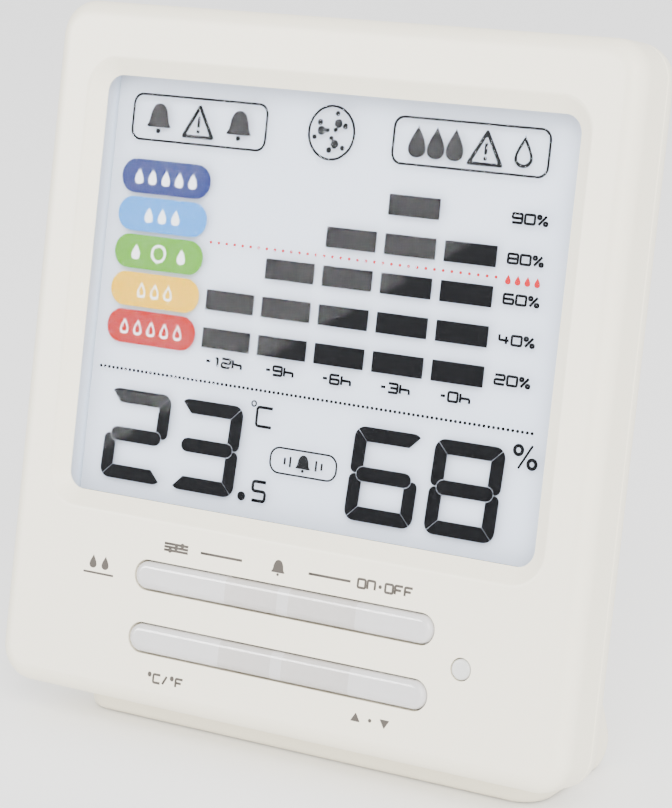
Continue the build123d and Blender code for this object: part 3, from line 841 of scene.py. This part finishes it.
class HYGRO_OT_glass(bpy.types.Operator):
    """Makes the pane and the display's glasses clear, and the sheet behind them pale, with a painted glow on
    the sheet and on the frame beside it
    """
    bl_idname = "hygro.glass"
    bl_label = "Pane and glass"

    def bonded_glass(self, glass):
        """The two glasses as one block round the drawing, with the rear one's ledge below."""
        half = reach("lcd_front_glass", RIGHT)[1] / MM
        front = level(reach("lcd_front_glass", OUT)[1])
        rear = level(reach("lcd_rear_glass", OUT)[0]) + GLASS_SKIN
        step = level(reach("lcd_rear_glass", OUT)[1])
        centre = UP.dot(WINDOW_CENTRE)
        seal, top = ((place - centre) / MM for place in reach("lcd_front_glass", UP))
        ledge = (reach("lcd_rear_glass", UP)[0] - centre) / MM
        profile = [(seal, front), (top, front), (top, rear), (ledge, rear), (ledge, step), (seal, step)]
        verts = [(side * half, v, out) for side in (-1, 1) for v, out in profile]
        count = len(profile)
        faces = [[i, (i + 1) % count, count + (i + 1) % count, count + i] for i in range(count)]
        faces += [list(range(count))[::-1], list(range(count, 2 * count))]
        mesh = bpy.data.meshes.new("bonded_glass")
        mesh.from_pydata(verts, [], faces)
        block = link("bonded_glass", tidy(mesh, FACE), glass)
        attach(block, "case")
        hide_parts("lcd_front_glass", "lcd_rear_glass")

    def execute(self, context):
        _, display = look()
        refinish(pane_glass("window_acrylic", 1.055, (0.985, 0.99, 1.0)), "window_pane")
        self.bonded_glass(pane_glass("display_glass", 1.03, (0.99, 0.995, 1.0)))
        ground = tuple(display.ground)
        tone = tuple(part * 0.965 for part in ground)
        # The sheet is no lamp: its emission is painted light that lifts the pale ground
        back = Finish("display_ground", ior=1.45, specular_ior_level=0.05,
                      emission_color=ground, emission_strength=display.painted_glow)
        pitch = 0.42
        weave = back.along(UP).wrapped(pitch) / pitch
        cross = back.along(RIGHT).wrapped(pitch) / pitch
        line = ((weave < 0.18) * 0.5 + (cross < 0.18) * 0.5).clamped()
        refinish(back.feed(base_color=back.mix(line, ground, tone), roughness=0.55 + line * 0.1),
                 "lcd_backing")
        # Painted light: the frame beside the sheet glows brighter still, though it is no lamp, so the shade
        # in the crevice round the glass does not show
        edge = Finish("frame_white_painted_glow", ior=1.5, specular_ior_level=0.3,
                      emission_color=ground, emission_strength=1.6 * display.painted_glow)
        satin = edge.noise(2400.0)
        refinish(edge.feed(base_color=edge.mix(satin, tone, ground), roughness=0.5 + satin * 0.1),
                 "lcd_frame")
        return {"FINISHED"}


class HYGRO_OT_keys(bpy.types.Operator):
    """Gives the keys and the lamp their clear and milky plastic"""
    bl_idname = "hygro.keys"
    bl_label = "Keys and lamp"

    def execute(self, context):
        clear = Finish("clear_key", ior=1.49, transmission_weight=0.3)
        cloud = clear.noise(900.0, 3.0)
        place = clear.along(RIGHT)
        # Painted shade: the shadow of the rocker inside is painted into the key's colour, and lifted along a
        # paler rib across it
        shadow_at, shadow_half = 2.6, 10.5
        rib_at, rib_half = 1.5, 0.9
        inner = ((place - shadow_at).absolute() < shadow_half) * 0.8
        rib = (place - rib_at).absolute() < rib_half
        tone = (inner - rib * 0.9 + (cloud - 0.5) * 0.4).clamped()
        refinish(clear.feed(base_color=clear.mix(tone, shade(232, 230, 230), shade(212, 207, 203)),
                            roughness=0.12 + cloud * 0.1, normal=clear.bump(cloud, 0.01)),
                 "upper_key", "lower_key")
        milk = Finish("milky_lamp", ior=1.5, transmission_weight=0.35, base_color=(0.93, 0.93, 0.9))
        haze = milk.noise(1500.0)
        refinish(milk.feed(roughness=0.28 + haze * 0.1), "alarm_led")
        return {"FINISHED"}


class HYGRO_OT_legends(bpy.types.Operator):
    """Prints the signs round the keys"""
    bl_idname = "hygro.legends"
    bl_label = "Key legends"

    def execute(self, context):
        case, _ = look()
        grey = printed("legend_grey", tuple(case.legend))
        height = case.legend_height / MM
        lines = lettering("ON•OFF", 16.9, LEGEND_TOP, height, 1.15, 0.35)
        lines += lettering("°C/°F", -16.6, LEGEND_LEFT, height, 1.15, 0.3)
        slider_rows = [LEGEND_TOP + 0.45 * (i - 1) for i in range(3)]
        rules = [(-12.77, -5.92, LEGEND_TOP), (4.88, 11.53, LEGEND_TOP)]
        rules += [(-18.9, -14.9, v) for v in slider_rows]
        lines += [([(start, v), (end, v)], False) for start, end, v in rules]
        strokes("key_strokes", lines, case.legend_line / MM, PRINT_PLACE, PRINT_HEIGHT, grey)
        loops = bell(0.0, LEGEND_TOP, 2.3)
        loops += [circle(-17.9 + i, v, 0.34, 14) for i, v in enumerate(slider_rows)]
        loops += [drop(-30.7 + 2.1 * i, -38.8, 1.9) for i in range(2)]
        loops += [box(-29.65, -40.4, 5.2, 0.28, 0.1)]
        for u, way in ((14.5, 1), (19.0, -1)):
            corners = ((-0.75, -0.5), (0.75, -0.5), (0.0, 0.7))
            loops.append(rounded([(u + way * x, LEGEND_RIGHT + way * y) for x, y in corners], 0.12))
        loops.append(circle(16.75, LEGEND_RIGHT, 0.26, 12))
        sheet("key_signs", loops, PRINT_PLACE, PRINT_HEIGHT, grey)
        return {"FINISHED"}


class HYGRO_OT_screws(bpy.types.Operator):
    """Replaces the plain screws by cross-recessed ones with a thread"""
    bl_idname = "hygro.screws"
    bl_label = "Screws"

    # Piece, node, head's radius and height, thread's radius, half the upper pair's distance if it differs
    KINDS = (("case_cross_screws", "case_screws", 2.0, 1.3, 1.0, None),
             ("board_cross_screws", "board_screws", 1.7, 1.0, 0.77, 16.0))

    def screw(self, head_radius, head_height, radius, length):
        """One screw, with its seat at the origin and its head towards +Z, in millimetres."""
        pitch = 0.9
        core = radius * 0.74
        profile = [(0, -length), (radius * 0.45, -length + 0.2)]
        for i in range(int((length - 1.2) / pitch)):
            z = -length + 0.6 + i * pitch
            profile += [(core, z), (radius, z + pitch * 0.35), (core, z + pitch * 0.7)]
        profile += [(core, -0.3), (radius * 0.9, 0), (head_radius, 0), (head_radius, head_height * 0.4)]
        for i in range(1, 6):
            angle = i / 6 * pi / 2
            profile.append((head_radius * cos(angle), head_height * (0.4 + 0.6 * sin(angle))))
        profile.append((0, head_height))
        shape = bmesh.new()
        corners = [shape.verts.new((x, 0, z)) for x, z in profile]
        edges = [shape.edges.new(pair) for pair in zip(corners, corners[1:])]
        bmesh.ops.spin(shape, geom=corners + edges, cent=(0, 0, 0), axis=(0, 0, 1), angle=2 * pi,
                       steps=28, use_merge=True)
        mesh = bpy.data.meshes.new("screw")
        shape.to_mesh(mesh)
        shape.free()
        piece = link("screw", tidy(mesh, Matrix.Identity(4)))
        for turn in (0, pi / 2):
            slot = bmesh.new()
            spread = Matrix.Diagonal((head_radius * 1.15, head_radius * 0.26, head_height, 1.0))
            bmesh.ops.create_cube(slot, size=1.0, matrix=Matrix.Rotation(turn, 4, "Z") @ spread)
            for vertex in slot.verts:
                if vertex.co.z < 0:
                    vertex.co.xy *= 0.45
            bmesh.ops.translate(slot, vec=(0, 0, head_height * 0.92), verts=slot.verts)
            tool_mesh = bpy.data.meshes.new("slot")
            slot.to_mesh(tool_mesh)
            slot.free()
            tool = link("slot", tool_mesh)
            cut = piece.modifiers.new("slot", "BOOLEAN")
            cut.operation = "DIFFERENCE"
            cut.object = tool
            piece = link("screw", as_mesh(piece))
            bpy.data.objects.remove(tool)
        return piece

    def replace(self, name, node, places, seat, steel, **sizes):
        """Puts the screw at each place of the face, with its head towards the rear."""
        one = self.screw(**sizes)
        points = bpy.data.meshes.new(name)
        points.from_pydata([(u, v, seat) for u, v in places], [], [])
        mesh = run_tree(scatter_tree(), points, {"Piece": one, "Turn": (pi, 0.0, 0.4), "Ink": steel}, name)
        bpy.data.objects.remove(one)
        mesh.transform(FACE)
        piece = link(name, mesh, steel)
        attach(piece, "case")
        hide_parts(node)

    def execute(self, context):
        steel = metal("plated_steel", shade(196, 196, 198), 0.32)
        for name, node, head_radius, head_height, radius, upper in self.KINDS:
            low, high = reach(node, OUT)
            length = (high - low) / MM - head_height
            u_mid, u_half = span(node, RIGHT)
            v_mid, v_half = span(node, UP)
            lower = u_half - head_radius
            places = [(u_mid + side * half, v_mid + rise * (v_half - head_radius))
                      for rise, half in ((-1, lower), (1, upper or lower)) for side in (-1, 1)]
            self.replace(name, node, places, level(low) + head_height, steel, head_radius=head_radius,
                         head_height=head_height, radius=radius, length=length)
        return {"FINISHED"}


class HYGRO_OT_inner(bpy.types.Operator):
    """Gives the pieces inside the case their finishes"""
    bl_idname = "hygro.inner"
    bl_label = "Inner pieces"

    def execute(self, context):
        board = Finish("green_board", ior=1.5, specular_ior_level=0.5)
        lane_pitch, row_pitch = 2.4, 5.5
        lane = board.along(RIGHT).wrapped(lane_pitch) / lane_pitch
        row = board.along(UP).wrapped(row_pitch) / row_pitch
        patch = board.noise(140.0, 0.0)
        trace = ((lane < 0.16) * (patch > 0.5) + (row < 0.07) * (patch < 0.5)).clamped()
        grain = board.noise(2600.0)
        refinish(board.feed(
            base_color=board.mix(trace, shade(24, 92, 50), shade(52, 132, 72)),
            roughness=0.34 + grain * 0.12, normal=board.bump(trace, 0.03)), "main_board")
        stripes = Finish("striped_rubber", ior=1.5)
        pitch = 0.2
        band = stripes.along(RIGHT).wrapped(pitch) / pitch < 0.5
        refinish(stripes.feed(base_color=stripes.mix(band, shade(196, 150, 150), shade(30, 28, 30)),
                              roughness=0.6 + stripes.noise(900.0) * 0.1), "zebra_strip")
        for name, colour, rough, nodes in (
                ("switch_black", (34, 34, 36), 0.45, ["switch_bodies"]),
                ("stem_black", (26, 26, 28), 0.38, [node for node in NODES if "stem" in node]),
                ("sensor_white", (232, 234, 236), 0.5, ["humidity_sensor"])):
            refinish(moulded(name, shade(*colour), rough), *nodes)
        epoxy = Finish("black_epoxy", ior=1.55, coat_weight=0.3)
        wave = epoxy.noise(300.0, 2.0)
        refinish(epoxy.feed(base_color=epoxy.mix(wave, shade(18, 18, 19), shade(36, 35, 34)),
                            roughness=0.2 + wave * 0.15, normal=epoxy.bump(wave, 0.05)),
                 "chip_blob", "thermistor")
        for name, colour, rough, node in (
                ("crystal_can", (205, 203, 198), 0.26, "clock_crystal"),
                ("lead_steel", (200, 200, 200), 0.3, "led_leads"),
                ("sounder_brass", (214, 176, 96), 0.3, "sounder_plate")):
            refinish(metal(name, shade(*colour), rough), node)
        refinish(moulded("fired_ceramic", shade(222, 214, 196), 0.6, 0.004, 0.2), "sounder_ceramic")
        return {"FINISHED"}


class HYGRO_OT_battery(bpy.types.Operator):
    """Dresses the battery bay: wrapped cells, plated contacts, and the arrow on the door"""
    bl_idname = "hygro.battery"
    bl_label = "Battery bay"

    def execute(self, context):
        nickel = metal("nickel_plate", shade(208, 204, 196), 0.24)
        refinish(nickel, "contact_springs", "contact_bridge", "contact_negative", "contact_positive")
        # The cells lie opposite ways; lengths along each are taken from its tip
        band_start, band_end = 2.0, 11.0
        bare_tip, bare_base = 1.5, 0.7
        for node, side in (("cell_lower", 1), ("cell_upper", -1)):
            low, high = (place / MM for place in reach(node, RIGHT))
            wrap = Finish(f"{node}_wrap", ior=1.5)
            tip = high if side > 0 else low
            from_tip = (wrap.along(RIGHT) - tip) * -side
            band = (from_tip > band_start) * (from_tip < band_end)
            bare = ((from_tip < bare_tip) + (from_tip > (high - low) - bare_base)).clamped()
            paint = wrap.mix(band, shade(72, 92, 104), shade(206, 212, 214))
            scuff = wrap.noise(420.0, 3.0)
            refinish(wrap.feed(
                base_color=wrap.mix(bare, paint, shade(196, 194, 190)),
                metallic=0.35 + bare * 0.65, roughness=0.26 + scuff * 0.14,
                normal=wrap.bump(scuff, 0.006)), node)
        case, _ = look()
        plastic = moulded("arrow_plastic", tuple(case.plastic), case.roughness)
        above_edge, ridge_height, thickness = 6.5, 0.4, 0.3
        v = (reach("battery_door", UP)[0] - UP.dot(WINDOW_CENTRE)) / MM + above_edge
        plate = level(reach("battery_door", OUT)[0]) + ridge_height
        arrow = [(-2.2, -0.2), (-0.8, -0.2), (-0.8, -3.0), (0.8, -3.0), (0.8, -0.2), (2.2, -0.2), (0, 2.6)]
        at = FACE @ Matrix.Translation((0, v, plate - thickness / 3))
        sheet("door_arrow", [rounded(arrow, 0.25)], at, thickness, plastic, "battery_door")
        return {"FINISHED"}


class HYGRO_OT_stage(bpy.types.Operator):
    """Sets the floor, the lights and the camera"""
    bl_idname = "hygro.stage"
    bl_label = "Stage"

    def area(self, name, place, turn, size, power):
        """A white lamp panel."""
        data = bpy.data.lights.new(name, "AREA")
        data.shape = "RECTANGLE"
        data.size, data.size_y = size
        data.energy = power
        lamp = link(name, data)
        lamp.location = place
        lamp.rotation_euler = turn.to_euler()
        return lamp

    def glare(self, eye, power):
        """A lamp panel whose mirror image covers the window's upper left part, with a slanting edge."""
        pane = WINDOW_CENTRE - OUT * PANE_DEPTH * MM
        image = eye - 2 * OUT * OUT.dot(eye - pane)
        ends = [pane + (RIGHT * u + UP * v) * MM for u, v in GLARE_LINE]
        ends = [point + (point - image).normalized() * GLARE_AWAY for point in ends]
        along = (ends[1] - ends[0]).normalized()
        ray = ((ends[0] + ends[1]) / 2 - image).normalized()
        across_it = ray.cross(along).normalized()
        if across_it.z < 0:
            across_it = -across_it
        length = (ends[1] - ends[0]).length * GLARE_LENGTH
        breadth = length * GLARE_BREADTH
        centre = (ends[0] + ends[1]) / 2 + across_it * breadth / 2
        turn = Matrix((along, ray.cross(along), ray)).transposed()
        self.area("glare_panel", centre, turn, (length, breadth), power).visible_diffuse = False

    def floor(self, colour):
        """A floor that rises into a backdrop a little way behind."""
        near, far, rise, half, bend, gap = -2.5, 1.6, 1.8, 3.0, 0.5, 0.0002
        path = [(near, 0.0), *arc(far - bend, bend, bend, -90, 0, 12), (far, rise)]
        verts = [(side * half, y, z) for y, z in path for side in (-1, 1)]
        faces = [(2 * i, 2 * i + 1, 2 * i + 3, 2 * i + 2) for i in range(len(path) - 1)]
        mesh = bpy.data.meshes.new("floor")
        mesh.from_pydata(verts, [], faces)
        for face in mesh.polygons:
            face.use_smooth = True
        paper = Finish("floor_paper", specular_ior_level=0.1)
        tone = paper.noise(3.0)
        floor = link("floor", mesh, paper.feed(
            base_color=paper.mix(tone, tuple(part * 0.99 for part in colour), tuple(colour)),
            roughness=0.85 + tone * 0.05))
        floor.location.z = -gap

    def execute(self, context):
        stage = context.scene.hygrometer_stage
        self.floor(stage.floor)
        world = bpy.data.worlds.new("studio")
        context.scene.world = world
        world.use_nodes = True
        background = world.node_tree.nodes["Background"]
        background.inputs["Color"].default_value = (1.0, 1.0, 1.0, 1.0)
        background.inputs["Strength"].default_value = stage.sky

        eye = Vector((0.2109, -0.3254, 0.1444))
        gaze = Vector((-0.5238, 0.8174, -0.2396))
        data = bpy.data.cameras.new("camera")
        data.sensor_fit = "VERTICAL"
        data.sensor_height = 36.0
        data.lens = 130.83
        data.clip_start = 0.01
        camera = link("camera", data)
        camera.location = eye
        camera.rotation_euler = gaze.to_track_quat("-Z", "Y").to_euler()
        context.scene.camera = camera

        place, aim, size = Vector((0.75, -0.95, 0.75)), Vector((0, 0, 0.05)), (0.9, 0.9)
        self.area("key_light", place, (aim - place).to_track_quat("-Z", "Y"), size, stage.key)
        self.glare(eye, stage.card)
        return {"FINISHED"}


OPERATORS = (HYGRO_OT_case, HYGRO_OT_glass, HYGRO_OT_digits, HYGRO_OT_chart, HYGRO_OT_badges,
             HYGRO_OT_symbols, HYGRO_OT_keys, HYGRO_OT_legends, HYGRO_OT_screws, HYGRO_OT_inner,
             HYGRO_OT_battery, HYGRO_OT_stage)


class HYGRO_PT_panel(bpy.types.Panel):
    """Lists the pieces and their settings"""
    bl_label = "Thermo-hygrometer"
    bl_idname = "HYGRO_PT_panel"
    bl_space_type = "VIEW_3D"
    bl_region_type = "UI"
    bl_category = "Thermo-hygrometer"

    def draw(self, context):
        for name, kind in GROUPS.items():
            column = self.layout.column()
            for key in kind.__annotations__:
                column.prop(getattr(context.scene, name), key)
        for operator in OPERATORS:
            self.layout.operator(operator.bl_idname)


GROUPS = {"hygrometer_case": CaseLook, "hygrometer_display": DisplayLook, "hygrometer_stage": StageLook}
CLASSES = (*GROUPS.values(), *OPERATORS, HYGRO_PT_panel)


def register():
    for item in CLASSES:
        bpy.utils.register_class(item)
    for name, kind in GROUPS.items():
        setattr(bpy.types.Scene, name, PointerProperty(type=kind))


def unregister():
    for name in GROUPS:
        delattr(bpy.types.Scene, name)
    for item in reversed(CLASSES):
        bpy.utils.unregister_class(item)


def main():
    register()
    for operator in OPERATORS:
        getattr(bpy.ops.hygro, operator.bl_idname.split(".")[1])()


if __name__ == "__main__":
    main()
